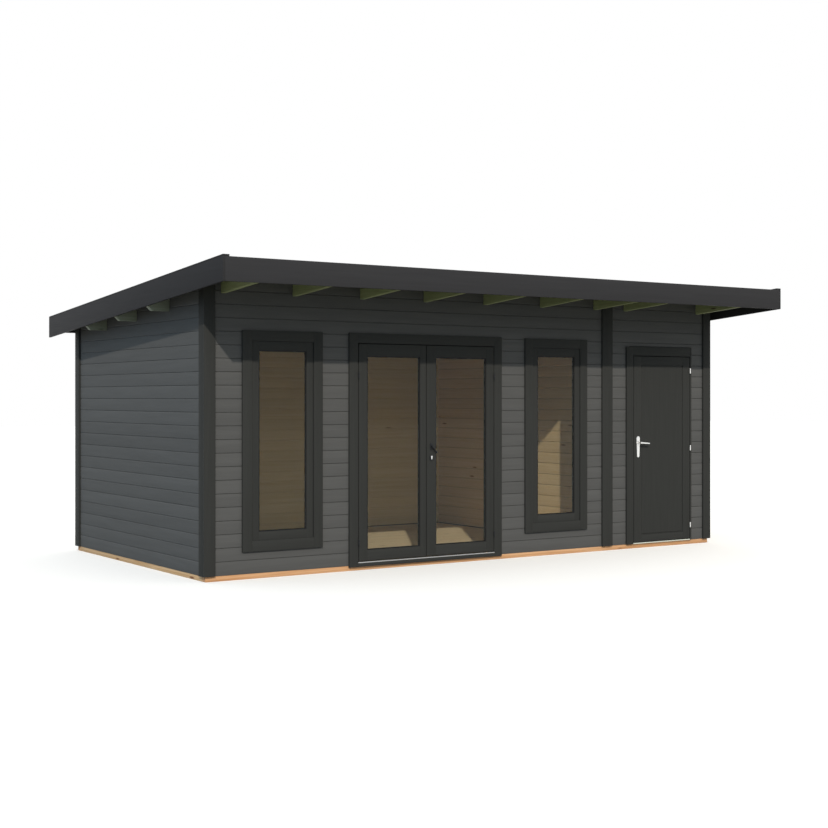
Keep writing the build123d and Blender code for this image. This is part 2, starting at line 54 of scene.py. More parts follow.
mm = 0.001
hair = 0.01 * mm                     # closer than this counts as the same place
flatAngle = math.radians(0.5)        # faces that turn less than this become one
sharpAngle = math.radians(25)        # edges that turn more than this get rounded
smoothAngle = math.radians(32)       # edges that turn less than this are shaded smooth
edgeProfile = 0.6                    # a little fuller than a true round, which is 0.5
sameWay = 0.9                        # above this cosine two directions count as one
axisNumber = {"x": 0, "y": 1, "z": 2}


# Colours and nodes

def linearColour(hexText, alpha=1.0):
    channels = [int(hexText[i:i + 2], 16) / 255 for i in (1, 3, 5)]
    return [c / 12.92 if c <= 0.04045 else ((c + 0.055) / 1.055) ** 2.4 for c in channels] + [alpha]


def addNode(tree, kind, links=None, **settings):
    node = tree.nodes.new("ShaderNode" + kind)
    for name, value in settings.items():
        setattr(node, name, value)
    for socket, value in (links or {}).items():
        if isinstance(value, bpy.types.NodeSocket):
            tree.links.new(value, node.inputs[socket])
        else:
            node.inputs[socket].default_value = value
    return node


def newFinish(name, colour, roughness, metallic=0.0):
    material = bpy.data.materials.new(name)
    material.use_nodes = True
    tree = material.node_tree
    shader = tree.nodes["Principled BSDF"]
    shader.inputs["Base Color"].default_value = linearColour(colour)
    shader.inputs["Roughness"].default_value = roughness
    shader.inputs["Metallic"].default_value = metallic
    return material, tree, shader


# Every board carries "grain", its own place in metres along, across and through the wood,
# and "tone", a number from 0 to 1 that differs from board to board

midNoise = {"From Min": 0.3, "From Max": 0.7}       # nearly all of a noise pattern lies between these
woodPlan = {                                        # how any wood is drawn; each kind has its sizes below
    "figureDetail": 5.0, "figureRoughness": 0.55, "figureTwist": 0.8, "figureLow": 0.32, "figureHigh": 0.68,
    "fibreDetail": 2.0, "knotCore": 0.55, "bumpStrength": 0.6}
coatPlan = {                                        # and any stain or paint
    "fibreDetail": 3.0, "fibreRoughness": 0.6, "brushDetail": 3.0, "sheenSpread": 0.06, "bumpStrength": 0.7}


def stretched(tree, source, along, across):
    return addNode(tree, "VectorMath", {0: source, 1: (1 / along, 1 / across, 1 / across)},
                   operation="MULTIPLY").outputs["Vector"]


def planedWood(name, plan):
    material, tree, shader = newFinish(name, plan["light"], plan["roughness"])
    grain = addNode(tree, "Attribute", attribute_name="grain").outputs["Vector"]
    tone = addNode(tree, "Attribute", attribute_name="tone").outputs["Fac"]
    figure = addNode(tree, "TexNoise", {
        "Vector": stretched(tree, grain, plan["figureLength"], plan["figureWidth"]), "Scale": 1.0,
        "Detail": woodPlan["figureDetail"], "Roughness": woodPlan["figureRoughness"],
        "Distortion": woodPlan["figureTwist"]})
    fibre = addNode(tree, "TexNoise", {
        "Vector": stretched(tree, grain, plan["fibreLength"], plan["fibreWidth"]), "Scale": 1.0,
        "Detail": woodPlan["fibreDetail"]})
    bands = addNode(tree, "MapRange", {"Value": figure.outputs["Fac"], "From Min": woodPlan["figureLow"],
                                       "From Max": woodPlan["figureHigh"]})
    lines = addNode(tree, "MapRange", {**midNoise, "Value": fibre.outputs["Fac"],
                                       "To Min": 1 - plan["fibreDepth"], "To Max": 1 + plan["fibreDepth"]})
    wood = addNode(tree, "Mix", {"Factor": bands.outputs["Result"], "A": linearColour(plan["light"]),
                                 "B": linearColour(plan["dark"])}, data_type="RGBA")
    # knots are egg-shaped spots, longer along the board
    cell = addNode(tree, "TexVoronoi", {
        "Vector": stretched(tree, grain, plan["knotSpacing"], plan["knotSpacing"] * plan["knotSquash"]),
        "Scale": 1.0})
    knot = addNode(tree, "MapRange", {
        "Value": cell.outputs["Distance"], "From Min": plan["knotShare"] * woodPlan["knotCore"],
        "From Max": plan["knotShare"], "To Min": 1.0, "To Max": 0.0})
    spotted = addNode(tree, "Mix", {"Factor": knot.outputs["Result"], "A": wood.outputs["Result"],
                                    "B": linearColour(plan["knot"])}, data_type="RGBA")
    boardTone = addNode(tree, "MapRange", {"Value": tone, "To Min": 1 - plan["toneSpread"],
                                           "To Max": 1 + plan["toneSpread"]})
    shade = addNode(tree, "Math", {0: boardTone.outputs["Result"], 1: lines.outputs["Result"]},
                    operation="MULTIPLY")
    tinted = addNode(tree, "HueSaturation", {"Value": shade.outputs["Value"],
                                             "Color": spotted.outputs["Result"]})
    tree.links.new(tinted.outputs["Color"], shader.inputs["Base Color"])
    bump = addNode(tree, "Bump", {"Height": fibre.outputs["Fac"], "Distance": plan["fibreHeight"],
                                  "Strength": woodPlan["bumpStrength"]})
    tree.links.new(bump.outputs["Normal"], shader.inputs["Normal"])
    return material


def coatedWood(name, plan):
    material, tree, shader = newFinish(name, plan["coat"], plan["roughness"])
    shader.inputs["Specular IOR Level"].default_value = plan["shine"]
    grain = addNode(tree, "Attribute", attribute_name="grain").outputs["Vector"]
    tone = addNode(tree, "Attribute", attribute_name="tone").outputs["Fac"]
    fibre = addNode(tree, "TexNoise", {
        "Vector": stretched(tree, grain, plan["fibreLength"], plan["fibreWidth"]), "Scale": 1.0,
        "Detail": coatPlan["fibreDetail"], "Roughness": coatPlan["fibreRoughness"]})
    cloud = addNode(tree, "TexNoise", {
        "Vector": stretched(tree, grain, plan["brushLength"], plan["brushWidth"]), "Scale": 1.0,
        "Detail": coatPlan["brushDetail"]})
    boardTone = addNode(tree, "MapRange", {"Value": tone, "To Min": 1 - plan["toneSpread"],
                                           "To Max": 1 + plan["toneSpread"]})
    streak = addNode(tree, "MapRange", {**midNoise, "Value": fibre.outputs["Fac"],
                                        "To Min": 1 - plan["streak"], "To Max": 1 + plan["streak"]})
    brushed = addNode(tree, "MapRange", {**midNoise, "Value": cloud.outputs["Fac"],
                                         "To Min": 1 - plan["brush"], "To Max": 1 + plan["brush"]})
    shade = addNode(tree, "Math", {0: boardTone.outputs["Result"], 1: streak.outputs["Result"]},
                    operation="MULTIPLY")
    shade = addNode(tree, "Math", {0: shade.outputs["Value"], 1: brushed.outputs["Result"]},
                    operation="MULTIPLY")
    tinted = addNode(tree, "HueSaturation", {"Value": shade.outputs["Value"],
                                             "Color": linearColour(plan["coat"])})
    tree.links.new(tinted.outputs["Color"], shader.inputs["Base Color"])
    sheen = addNode(tree, "MapRange", {**midNoise, "Value": fibre.outputs["Fac"],
                                       "To Min": plan["roughness"] - coatPlan["sheenSpread"],
                                       "To Max": plan["roughness"] + coatPlan["sheenSpread"]})
    tree.links.new(sheen.outputs["Result"], shader.inputs["Roughness"])
    bump = addNode(tree, "Bump", {"Height": fibre.outputs["Fac"], "Distance": plan["fibreHeight"],
                                  "Strength": coatPlan["bumpStrength"]})
    tree.links.new(bump.outputs["Normal"], shader.inputs["Normal"])
    return material


# Grey opaque stain on planed spruce: matt, even grey, with the grain just showing as fine raised lines
stainPlan = {
    "coat": "#5C5B58", "roughness": 0.7, "shine": 0.03, "toneSpread": 0.05, "streak": 0.05, "brush": 0.05,
    "fibreLength": 220 * mm, "fibreWidth": 3.2 * mm,       # about three times as wide as real grain, to show
    "brushLength": 700 * mm, "brushWidth": 45 * mm, "fibreHeight": 0.25 * mm}
stainedSpruce = coatedWood("stainedPlanedSpruce", stainPlan)

# The same stain on the joint faces of the sunny front, darker: painted shade in the joints
stainWithPaintedJointShade = coatedWood("greyStainWithPaintedJointShade", {**stainPlan, "coat": "#555451"})

# Anthracite satin paint, brushed on planed spruce: nearly black, smooth, with a soft shine along its edges
paintPlan = {
    "coat": "#3B3B38", "roughness": 0.5, "shine": 0.02, "toneSpread": 0.03, "streak": 0.03, "brush": 0.04,
    "fibreLength": 300 * mm, "fibreWidth": 4 * mm, "brushLength": 500 * mm, "brushWidth": 25 * mm,
    "fibreHeight": 0.12 * mm}
satinPaint = coatedWood("anthraciteSatinPaint", paintPlan)

# The same paint on the roof's front and back boards, which the weather has made a little colder
roofEdgePaint = coatedWood("weatheredAnthracitePaint", {**paintPlan, "coat": "#3A3939"})

# The same paint on the two sloping ends of the roof and their edge battens, a little darker: painted shade on
# the roof's ends
endPaintWithPaintedShade = coatedWood("anthracitePaintWithPaintedEndShade", {**paintPlan, "coat": "#363535"})

# Bare planed spruce indoors: warm and pale, with broad yellow figure and brown knots
sprucePlan = {
    "light": "#D8BE92", "dark": "#CFB283", "knot": "#977049", "roughness": 0.6, "toneSpread": 0.04,
    "figureLength": 1100 * mm, "figureWidth": 26 * mm,
    "fibreLength": 160 * mm, "fibreWidth": 2.4 * mm, "fibreDepth": 0.015, "fibreHeight": 0.04 * mm,
    "knotSpacing": 560 * mm, "knotSquash": 0.22, "knotShare": 0.1}
bareSpruce = planedWood("barePlanedSpruce", sprucePlan)

# The same spruce on the partition, which the sun reaches: a little pinker, and browner on the joint faces,
# which is painted shade in the joints
sunnySpruce = planedWood("sunDarkenedSpruce", {**sprucePlan, "light": "#DABB95", "dark": "#D0AE85"})
spruceWithPaintedJointShade = planedWood("barePlanedSpruceWithPaintedJointShade", {**sprucePlan, "light": "#BFA27E", "dark": "#B49670"})

# Bare floorboards: the same spruce, paler where it has been sanded
floorSpruce = planedWood("sandedFloorSpruce", {
    "light": "#E6CEB1", "dark": "#DBB895", "knot": "#8E6846", "roughness": 0.5, "toneSpread": 0.06,
    "figureLength": 900 * mm, "figureWidth": 20 * mm,
    "fibreLength": 160 * mm, "fibreWidth": 2.4 * mm, "fibreDepth": 0.03, "fibreHeight": 0.06 * mm,
    "knotSpacing": 480 * mm, "knotSquash": 0.22, "knotShare": 0.12})

# Dark oak strip over the gap at the edge of the floor: a thin brown-black line, painted shade where the floor
# meets the walls
darkOakPaintedFloorShade = planedWood("darkPlanedOakForPaintedFloorShade", {
    "light": "#4A3A28", "dark": "#3A2C1D", "knot": "#2A1F14", "roughness": 0.55, "toneSpread": 0.05,
    "figureLength": 600 * mm, "figureWidth": 9 * mm,
    "fibreLength": 60 * mm, "fibreWidth": 1.6 * mm, "fibreDepth": 0.08, "fibreHeight": 0.1 * mm,
    "knotSpacing": 900 * mm, "knotSquash": 0.2, "knotShare": 0.03})

# Sawn pine bearers: bright orange wood, rough from the saw
pinePlan = {
    "light": "#E0AF80", "dark": "#C48A57", "knot": "#80502C", "roughness": 0.72, "toneSpread": 0.05,
    "figureLength": 800 * mm, "figureWidth": 18 * mm,
    "fibreLength": 110 * mm, "fibreWidth": 2.6 * mm, "fibreDepth": 0.07, "fibreHeight": 0.3 * mm,
    "knotSpacing": 460 * mm, "knotSquash": 0.2, "knotShare": 0.13}
sawnPine = planedWood("sawnHeartPine", pinePlan)

# Sawn sapwood of the end bearers and joists: yellower than the heart
sapPine = planedWood("sawnSapPine", {**pinePlan, "light": "#DFB98A", "dark": "#C49762"})

# Pressure-treated pine of the roof: olive green-brown from the salts
treatedPlan = {
    "light": "#909568", "dark": "#7B8057", "knot": "#4A4228", "roughness": 0.7, "toneSpread": 0.07,
    "figureLength": 800 * mm, "figureWidth": 18 * mm,
    "fibreLength": 110 * mm, "fibreWidth": 2.6 * mm, "fibreDepth": 0.06, "fibreHeight": 0.25 * mm,
    "knotSpacing": 460 * mm, "knotSquash": 0.2, "knotShare": 0.12}
treatedPine = planedWood("pressureTreatedPine", treatedPlan)

# The same pine at the ends of the roof, where the weather has greyed it
greyedPine = planedWood("weatheredTreatedPine", {**treatedPlan, "light": "#8F947F", "dark": "#7A7F6C"})


def floatGlass():
    # clear float glass: sharp reflections, a trace of iron green, and it lets sunlight in
    plan = {"tint": "#F2F6F1", "roughness": 0.0,
            "ior": 1.25}            # under glass's own 1.52, as the white studio is brighter than a real view
    material, tree, shader = newFinish("clearFloatGlass", plan["tint"], plan["roughness"])
    shader.inputs["IOR"].default_value = plan["ior"]
    shader.inputs["Transmission Weight"].default_value = 1.0
    path = addNode(tree, "LightPath")
    clear = addNode(tree, "BsdfTransparent", {"Color": linearColour(plan["tint"])})
    throughLight = addNode(tree, "Math", {0: path.outputs["Is Shadow Ray"],
                                          1: path.outputs["Is Diffuse Ray"]}, operation="MAXIMUM")
    both = addNode(tree, "MixShader", {0: throughLight.outputs["Value"], 1: shader.outputs["BSDF"],
                                       2: clear.outputs["BSDF"]})
    tree.links.new(both.outputs["Shader"], tree.nodes["Material Output"].inputs["Surface"])
    return material


# Fine scratches on the bright metals
scratchPlan = {"detail": 2.0, "roughnessSpread": 0.08, "height": 0.02 * mm, "bumpStrength": 0.5}


def brushedMetal(name, plan):
    # long fine scratches along one axis blur the reflections that way
    material, tree, shader = newFinish(name, plan["colour"], plan["roughness"], 1.0)
    place = addNode(tree, "TexCoord").outputs["Object"]
    scale = [1 / plan["scratchWidth"]] * 3
    scale[axisNumber[plan["along"]]] = 1 / plan["scratchLength"]
    scratch = addNode(tree, "TexNoise", {
        "Vector": addNode(tree, "VectorMath", {0: place, 1: scale}, operation="MULTIPLY").outputs["Vector"],
        "Scale": 1.0, "Detail": scratchPlan["detail"]})
    spread = addNode(tree, "MapRange", {**midNoise, "Value": scratch.outputs["Fac"],
                                        "To Min": plan["roughness"] - scratchPlan["roughnessSpread"],
                                        "To Max": plan["roughness"] + scratchPlan["roughnessSpread"]})
    tree.links.new(spread.outputs["Result"], shader.inputs["Roughness"])
    bump = addNode(tree, "Bump", {"Height": scratch.outputs["Fac"], "Distance": scratchPlan["height"],
                                  "Strength": scratchPlan["bumpStrength"]})
    tree.links.new(bump.outputs["Normal"], shader.inputs["Normal"])
    return material


# Mill-finish aluminium, extruded: pale grey with draw lines along its length
drawnPlan = {"colour": "#B9BABA", "roughness": 0.45, "along": "x", "scratchLength": 120 * mm,
             "scratchWidth": 1.2 * mm}
millAluminium = brushedMetal("extrudedMillAluminium", drawnPlan)

# Anodised aluminium of the store's sill: the same draw lines, brighter and faintly warm
anodisedAluminium = brushedMetal("extrudedAnodisedAluminium", {**drawnPlan, "colour": "#D8DCD0"})

# Satin stainless steel, brushed upright: bright and nearly white in daylight
satinSteel = brushedMetal("satinBrushedStainlessSteel", {
    "colour": "#E4E4E2", "roughness": 0.3, "along": "z", "scratchLength": 25 * mm,
    "scratchWidth": 0.6 * mm})


def powderCoat():
    # dark powder coat on steel: fine orange-peel texture, low sheen
    plan = {"colour": "#2A2B2C", "roughness": 0.5, "roughnessSpread": 0.1, "shine": 0.15,
            "peel": 1.6 * mm, "peelDetail": 2.0, "peelHeight": 0.05 * mm, "bumpStrength": 0.6}
    material, tree, shader = newFinish("darkPowderCoatedSteel", plan["colour"], plan["roughness"])
    shader.inputs["Specular IOR Level"].default_value = plan["shine"]
    place = addNode(tree, "TexCoord").outputs["Object"]
    peel = addNode(tree, "TexNoise", {"Vector": place, "Scale": 1 / plan["peel"],
                                      "Detail": plan["peelDetail"]})
    bump = addNode(tree, "Bump", {"Height": peel.outputs["Fac"], "Distance": plan["peelHeight"],
                                  "Strength": plan["bumpStrength"]})
    tree.links.new(bump.outputs["Normal"], shader.inputs["Normal"])
    spread = addNode(tree, "MapRange", {"Value": peel.outputs["Fac"],
                                        "To Min": plan["roughness"] - plan["roughnessSpread"],
                                        "To Max": plan["roughness"] + plan["roughnessSpread"]})
    tree.links.new(spread.outputs["Result"], shader.inputs["Roughness"])
    return material


def extrudedRubber():
    # extruded rubber seal: black and matt, with the faint unevenness that the die leaves
    plan = {"colour": "#161616", "roughness": 0.7, "shine": 0.2, "line": 0.8 * mm, "lineDetail": 1.0,
            "lineHeight": 0.05 * mm, "bumpStrength": 0.5}
    material, tree, shader = newFinish("extrudedSealRubber", plan["colour"], plan["roughness"])
    shader.inputs["Specular IOR Level"].default_value = plan["shine"]
    place = addNode(tree, "TexCoord").outputs["Object"]
    lines = addNode(tree, "TexNoise", {"Vector": place, "Scale": 1 / plan["line"],
                                       "Detail": plan["lineDetail"]})
    bump = addNode(tree, "Bump", {"Height": lines.outputs["Fac"], "Distance": plan["lineHeight"],
                                  "Strength": plan["bumpStrength"]})
    tree.links.new(bump.outputs["Normal"], shader.inputs["Normal"])
    return material


def mineralFelt():
    # bitumen felt with crushed slate pressed in: dark, gritty, with paler and darker chips
    plan = {"slate": "#4B4C4D", "bitumen": "#2A2B2B", "chip": "#6A6B6B", "roughness": 0.9,
            "grit": 4 * mm,                         # real chips are about 1 mm, too fine to show
            "gritHeight": 0.8 * mm, "bumpStrength": 0.8,
            "patch": 350 * mm, "patchDetail": 4.0, "patchDark": 0.85, "patchLight": 1.12}
    material, tree, shader = newFinish("slateChippedFelt", plan["slate"], plan["roughness"])
    place = addNode(tree, "TexCoord").outputs["Object"]
    chips = addNode(tree, "TexVoronoi", {"Vector": place, "Scale": 1 / plan["grit"]})
    patch = addNode(tree, "TexNoise", {"Vector": place, "Scale": 1 / plan["patch"],
                                       "Detail": plan["patchDetail"]})
    pick = addNode(tree, "SeparateColor", {"Color": chips.outputs["Color"]})
    ground = addNode(tree, "Mix", {"Factor": pick.outputs["Red"], "A": linearColour(plan["bitumen"]),
                                   "B": linearColour(plan["chip"])}, data_type="RGBA")
    value = addNode(tree, "MapRange", {**midNoise, "Value": patch.outputs["Fac"],
                                       "To Min": plan["patchDark"], "To Max": plan["patchLight"]})
    tinted = addNode(tree, "HueSaturation", {"Value": value.outputs["Result"],
                                             "Color": ground.outputs["Result"]})
    tree.links.new(tinted.outputs["Color"], shader.inputs["Base Color"])
    bump = addNode(tree, "Bump", {"Height": chips.outputs["Distance"], "Distance": plan["gritHeight"],
                                  "Strength": plan["bumpStrength"]})
    tree.links.new(bump.outputs["Normal"], shader.inputs["Normal"])
    return material


def squeezedBitumen():
    # bitumen squeezed out hot and set: black and smooth, with slow swells
    plan = {"colour": "#1C1C1D", "roughness": 0.65, "roughnessSpread": 0.15, "shine": 0.1,
            "swell": 30 * mm, "swellDetail": 2.0, "swellHeight": 1 * mm, "bumpStrength": 0.5}
    material, tree, shader = newFinish("setBitumen", plan["colour"], plan["roughness"])
    shader.inputs["Specular IOR Level"].default_value = plan["shine"]
    place = addNode(tree, "TexCoord").outputs["Object"]
    swell = addNode(tree, "TexNoise", {"Vector": place, "Scale": 1 / plan["swell"],
                                       "Detail": plan["swellDetail"]})
    bump = addNode(tree, "Bump", {"Height": swell.outputs["Fac"], "Distance": plan["swellHeight"],
                                  "Strength": plan["bumpStrength"]})
    tree.links.new(bump.outputs["Normal"], shader.inputs["Normal"])
    spread = addNode(tree, "MapRange", {"Value": swell.outputs["Fac"],
                                        "To Min": plan["roughness"] - plan["roughnessSpread"],
                                        "To Max": plan["roughness"] + plan["roughnessSpread"]})
    tree.links.new(spread.outputs["Result"], shader.inputs["Roughness"])
    return material


clearGlass = floatGlass()
lapBitumen = squeezedBitumen()
sealRubber = extrudedRubber()
darkSteel = powderCoat()
slateFelt = mineralFelt()
print("finishes:", len(bpy.data.materials))


# Making pieces

figureRange = 40        # metres of wood that the boards take their figure from


def addBoard(bm, low, high):
    corners = [bm.verts.new((x, y, z)) for x in (low[0], high[0]) for y in (low[1], high[1])
               for z in (low[2], high[2])]
    for side in ((0, 1, 3, 2), (4, 6, 7, 5), (0, 4, 5, 1), (2, 3, 7, 6), (0, 2, 6, 4), (1, 5, 7, 3)):
        bm.faces.new([corners[k] for k in side])
    return corners


def addFrameBoards(bm, outer, widths, near, far):
    # uprights run the full height, and the cross pieces stand between them
    left, bottom, right, top = outer
    leftWidth, rightWidth, bottomWidth, topWidth = widths
    addBoard(bm, (left, near, bottom), (left + leftWidth, far, top))
    addBoard(bm, (right - rightWidth, near, bottom), (right, far, top))
    if bottomWidth:
        addBoard(bm, (left + leftWidth, near, bottom), (right - rightWidth, far, bottom + bottomWidth))
    addBoard(bm, (left + leftWidth, near, top - topWidth), (right - rightWidth, far, top))


def addMitredStrip(bm, outer, profile):
    # strip round a rectangle, mitred at its corners; the profile is (inset, y) points in order
    left, bottom, right, top = outer
    corners = ((1, 1, left, bottom), (-1, 1, right, bottom), (-1, -1, right, top), (1, -1, left, top))
    rings = []
    for acrossSign, upSign, x, z in corners:
        rings.append([bm.verts.new((x + acrossSign * inset, y, z + upSign * inset))
                      for inset, y in profile])
    count = len(profile)
    for k in range(4):
        here, there = rings[k], rings[(k + 1) % 4]
        for j in range(count):
            bm.faces.new((here[j], there[j], there[(j + 1) % count], here[(j + 1) % count]))


def copyNode(bm, node):
    source = bmesh.new()
    source.from_mesh(cadNodes[node].data)
    bmesh.ops.remove_doubles(source, verts=source.verts, dist=hair)
    bmesh.ops.dissolve_limit(source, angle_limit=flatAngle, verts=source.verts, edges=source.edges)
    spare = bpy.data.meshes.new("spare")
    source.to_mesh(spare)
    source.free()
    bm.from_mesh(spare)
    bpy.data.meshes.remove(spare)


def islands(bm):
    seen = set()
    for first in bm.faces:
        if first in seen:
            continue
        group, queue = [], [first]
        seen.add(first)
        while queue:
            face = queue.pop()
            group.append(face)
            for edge in face.edges:
                for other in edge.link_faces:
                    if other not in seen:
                        seen.add(other)
                        queue.append(other)
        yield group


def markGrain(bm, seed, run, course):
    grainLayer = bm.loops.layers.float_vector.new("grain")
    toneLayer = bm.loops.layers.float.new("tone")
    for k, group in enumerate(islands(bm)):
        points = [v.co for face in group for v in face.verts]
        sizes = [max(p[i] for p in points) - min(p[i] for p in points) for i in range(3)]
        along = axisNumber[run] if run else sizes.index(max(sizes))
        axes = [along] + [i for i in range(3) if i != along]
        for face in group:
            row = 0
            if course:
                row = math.floor((face.calc_center_median().z - course["base"]) / course["height"])
            draw = random.Random(f"{seed} {k} {row}")
            shifts = [draw.uniform(0, figureRange) for _ in axes]
            tone = draw.random()
            for loop in face.loops:
                loop[grainLayer] = [loop.vert.co[i] + shift for i, shift in zip(axes, shifts)]
                loop[toneLayer] = tone


def finishPiece(bm, name, finishes, nodes, soften=0.0, segments=2, run=None, course=None, faceFinish=None,
                body=None, slot=None, seed=None, onlyAlong=None):
    bmesh.ops.recalc_face_normals(bm, faces=bm.faces)
    if soften:
        corners = [e for e in bm.edges
                   if e.is_manifold and e.is_convex and e.calc_face_angle(0) > sharpAngle]
        if onlyAlong:
            way = axisNumber[onlyAlong]
            corners = [e for e in corners
                       if abs((e.verts[1].co - e.verts[0].co).normalized()[way]) > sameWay]
        bmesh.ops.bevel(bm, geom=corners, offset=soften, segments=segments, profile=edgeProfile,
                        affect="EDGES", clamp_overlap=True)
    markGrain(bm, seed or name, run, course)
    if faceFinish:
        for face in bm.faces:
            face.material_index = faceFinish(face)
    mesh = bpy.data.meshes.new(name)
    bm.to_mesh(mesh)
    bm.free()
    for finish in finishes:
        mesh.materials.append(finish)
    mesh.shade_smooth()
    mesh.set_sharp_from_angle(angle=smoothAngle)
    piece = bpy.data.objects.new(name, mesh)
    bpy.context.scene.collection.objects.link(piece)
    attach(piece, body or nodeBody[nodes[0]])
    if nodes:
        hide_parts(*nodes)
    slot or nodeSlot[nodes[0]]
    return piece


def dressNode(node, name, finish, soften, **options):
    # the node's own shape with its edges rounded
    bm = bmesh.new()
    copyNode(bm, node)
    return finishPiece(bm, name, [finish], [node], soften, **options)


deckPoints = [v.co for v in cadNodes["roof_deck"].data.vertices]
deckFront = min(p.y for p in deckPoints)
deckBack = max(p.y for p in deckPoints)
deckFrontUnder = min(p.z for p in deckPoints if p.y < deckFront + mm)
deckBackUnder = min(p.z for p in deckPoints if p.y > deckBack - mm)
roofFall = (deckFrontUnder - deckBackUnder) / (deckBack - deckFront)


def deckUnder(y):
    # height of the deck's underside
    return deckFrontUnder - roofFall * (y - deckFront)


# Log walls: stained outside, bare inside, each log with its own tone
logPlan = {
    "edgeRound": 1.2 * mm,
    "course": {"base": 45 * mm, "height": 114 * mm},
    "jointTilt": (0.3, 0.95),       # how far the faces of a joint point up or down, at least and at most
    "insideTilt": -0.2,             # faces that point less than this towards outdoors are inside
    "walls": {                      # node: (piece, run of the logs, way out)
        "left_wall": ("leftWallLogs", "y", (-1, 0, 0)),
        "right_wall": ("rightWallLogs", "y", (1, 0, 0)),
        "partition_wall": ("partitionLogs", "y", None),
        "back_wall": ("backWallLogs", "x", (0, 1, 0)),
        "front_header": ("frontHeaderLogs", "x", (0, -1, 0)),
        "front_left_pier": ("frontLeftPierLogs", "x", (0, -1, 0)),
        "left_door_pier": ("leftDoorPierLogs", "x", (0, -1, 0)),
        "right_door_pier": ("rightDoorPierLogs", "x", (0, -1, 0)),
        "partition_pier": ("partitionPierLogs", "x", (0, -1, 0)),
        "front_right_pier": ("frontRightPierLogs", "x", (0, -1, 0)),
        "under_left_window": ("underLeftWindowLogs", "x", (0, -1, 0)),
        "under_right_window": ("underRightWindowLogs", "x", (0, -1, 0)),
    },
}


def logFinish(face, wayOut, atFront):
    # number of the finish on one face of a log wall, in the order that buildLogWalls gives them
    least, most = logPlan["jointTilt"]
    inJoint = least < abs(face.normal.z) < most
    if not wayOut:
        # on the partition the joint faces take the browner spruce: painted shade in the joints
        return 1 if inJoint else 0
    if face.normal.dot(Vector(wayOut)) < logPlan["insideTilt"]:
        return 1
    # the joint faces of the sunny front take the darker stain: painted shade in the joints
    return 2 if atFront and inJoint else 0


def buildLogWalls():
    for node, (name, run, wayOut) in logPlan["walls"].items():
        bm = bmesh.new()
        copyNode(bm, node)
        atFront = wayOut == (0, -1, 0)
        finishes = [stainedSpruce, bareSpruce, stainWithPaintedJointShade] if wayOut else [sunnySpruce, spruceWithPaintedJointShade]
        finishPiece(bm, name, finishes, [node], logPlan["edgeRound"], run=run, onlyAlong=run,
                    course=logPlan["course"], seed="front logs" if atFront else name,
                    faceFinish=lambda face: logFinish(face, wayOut, atFront))
    print("log walls:", len(logPlan["walls"]))


# Base: bearers, joists, floorboards and the strips at the floor's edge
basePlan = {
    "edgeRound": 1.5 * mm, "boardWidth": 96 * mm, "boardEdge": 1.6 * mm, "boardLength": 2400 * mm,
    "firstShares": (0.3, 1.0), "lastShare": 0.2,        # of a board's length, for the ends of a row
    "stripHeight": 10 * mm, "stripDepth": 20 * mm, "stripRound": 3 * mm,
}


def buildBase():
    dressNode("long_bearers", "longBearersSawn", sawnPine, basePlan["edgeRound"])
    dressNode("end_bearers", "endBearersSawn", sapPine, basePlan["edgeRound"])
    dressNode("floor_joists", "floorJoistsSawn", sapPine, basePlan["edgeRound"])
    buildFloorboards("main_floor", "mainFloorboards")
    buildFloorboards("store_floor", "storeFloorboards")
    buildFloorStrips()
    print("base and floors")


def buildFloorboards(node, name):
    low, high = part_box(node)
    length = basePlan["boardLength"]
    rows = round((high.y - low.y) / basePlan["boardWidth"])
    width = (high.y - low.y) / rows
    draw = random.Random(name)
    bm = bmesh.new()
    for k in range(rows):
        near = low.y + k * width
        ends = [low.x]
        joint = low.x + length * draw.uniform(*basePlan["firstShares"])
        while joint < high.x - length * basePlan["lastShare"]:
            ends.append(joint)
            joint += length
        ends.append(high.x)
        for start, end in zip(ends, ends[1:]):
            addBoard(bm, (start, near, low.z), (end, near + width, high.z))
    finishPiece(bm, name, [floorSpruce], [node], basePlan["boardEdge"], segments=1)


def buildFloorStrips():
    # along the logs at the back and the two ends of the main room, and beside the doors at the front
    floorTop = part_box("main_floor")[1].z
    left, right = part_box("left_wall")[1].x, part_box("partition_wall")[0].x
    front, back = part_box("left_door_pier")[1].y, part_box("back_wall")[0].y
    doorLow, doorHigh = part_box("double_door_frame")
    depth = basePlan["stripDepth"]
    strips = (
        ((left, back - depth), (right, back)),
        ((left, front + depth), (left + depth, back - depth)),
        ((right - depth, front + depth), (right, back - depth)),
        ((left, front), (doorLow.x, front + depth)),
        ((doorHigh.x, front), (right, front + depth)))
    # the strips are dark: painted shade along the foot of the walls
    bm = bmesh.new()
    for start, end in strips:
        addBoard(bm, (*start, floorTop), (*end, floorTop + basePlan["stripHeight"]))
    finishPiece(bm, "mainFloorEdgeStrips", [darkOakPaintedFloorShade], [], basePlan["stripRound"],
                body=nodeBody["main_floor"], slot=nodeSlot["main_floor"])


# Outside trim: corner posts of two boards each, and the boards over the partition's ends
trimPlan = {"edgeRound": 2.2 * mm, "board": 20 * mm, "postWidth": 105 * mm}


def slopeTops(corners):
    for v in corners:
        v.co.z = min(v.co.z, deckUnder(v.co.y))


def buildPosts():
    low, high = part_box("corner_posts")
    board, width = trimPlan["board"], trimPlan["postWidth"]
    bm = bmesh.new()
    for side in (-1, 1):
        for away in (-1, 1):
            outX = high.x if side > 0 else low.x
            outY = high.y if away > 0 else low.y
            inX, inY = outX - side * width, outY - away * width
            faceX, faceY = outX - side * board, outY - away * board
            for a, b in (((inX, outY), (outX, faceY)), ((faceX, faceY), (outX, inY))):
                slopeTops(addBoard(bm, (min(a[0], b[0]), min(a[1], b[1]), low.z),
                                   (max(a[0], b[0]), max(a[1], b[1]), high.z)))
    finishPiece(bm, "cornerPostBoards", [satinPaint], ["corner_posts"], trimPlan["edgeRound"], run="z")
    dressNode("partition_posts", "partitionPostBoards", satinPaint, trimPlan["edgeRound"], run="z")
    print("posts")


